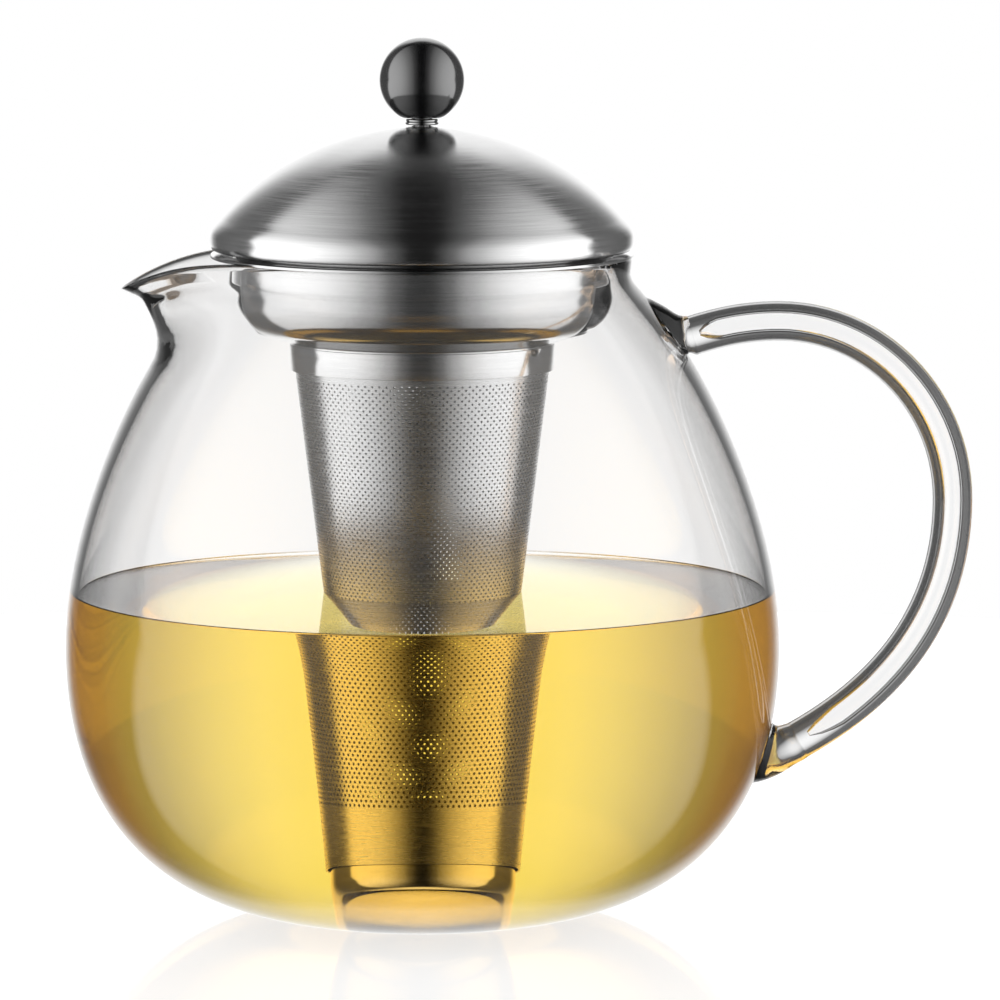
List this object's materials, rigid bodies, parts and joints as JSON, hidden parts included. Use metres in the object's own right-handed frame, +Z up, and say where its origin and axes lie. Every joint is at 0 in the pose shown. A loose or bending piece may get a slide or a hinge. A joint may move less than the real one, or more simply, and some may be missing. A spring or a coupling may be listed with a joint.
{
  "type": "glass teapot with infuser",
  "caption": "Clear pear-shaped glass teapot with a pulled spout and a tube handle, holding a lift-out perforated steel infuser under a domed steel lid with a ball knob.",
  "frame": {"origin": "centre of the flat foot, on the pot's axis", "axes": "+Z up along the pot's axis, the handle on +X and the spout on -X"},
  "size_m": [0.1975, 0.1558, 0.1917],
  "materials": {
    "pot_glass": "clear, fire-polished borosilicate glass",
    "infuser_steel": "bright rolled stainless steel sheet",
    "mesh_steel": "photo-etched perforated stainless steel sheet",
    "lid_steel": "circularly brushed stainless steel",
    "knob_black": "moulded and polished phenolic",
    "ferrule_chrome": "turned and polished stainless steel",
    "fastener_steel": "plain stainless steel fasteners",
    "insert_brass": "turned brass"
  },
  "bodies": {
    "pot": {"glass_body": "pot_glass", "glass_handle": "pot_glass", "handle_top_weld": "pot_glass", "handle_bottom_weld": "pot_glass"},
    "infuser": {"infuser_cup": "infuser_steel", "infuser_collar": "infuser_steel", "infuser_sleeve": "mesh_steel", "infuser_base": "infuser_steel"},
    "lid": {"lid_dome": "lid_steel", "lid_liner": "infuser_steel", "knob_ball": "knob_black", "knob_ferrule": "ferrule_chrome", "flat_washer": "fastener_steel", "spring_washer": "fastener_steel", "knob_screw": "fastener_steel", "knob_insert": "insert_brass"}
  },
  "joints": [
    {"name": "infuser_lift", "type": "slide", "parent": "pot", "child": "infuser", "axis": [0, 0, 1], "range_m": [0, 0.16]},
    {"name": "lid_lift", "type": "slide", "parent": "infuser", "child": "lid", "axis": [0, 0, 1], "range_m": [0, 0.06]}
  ]
}
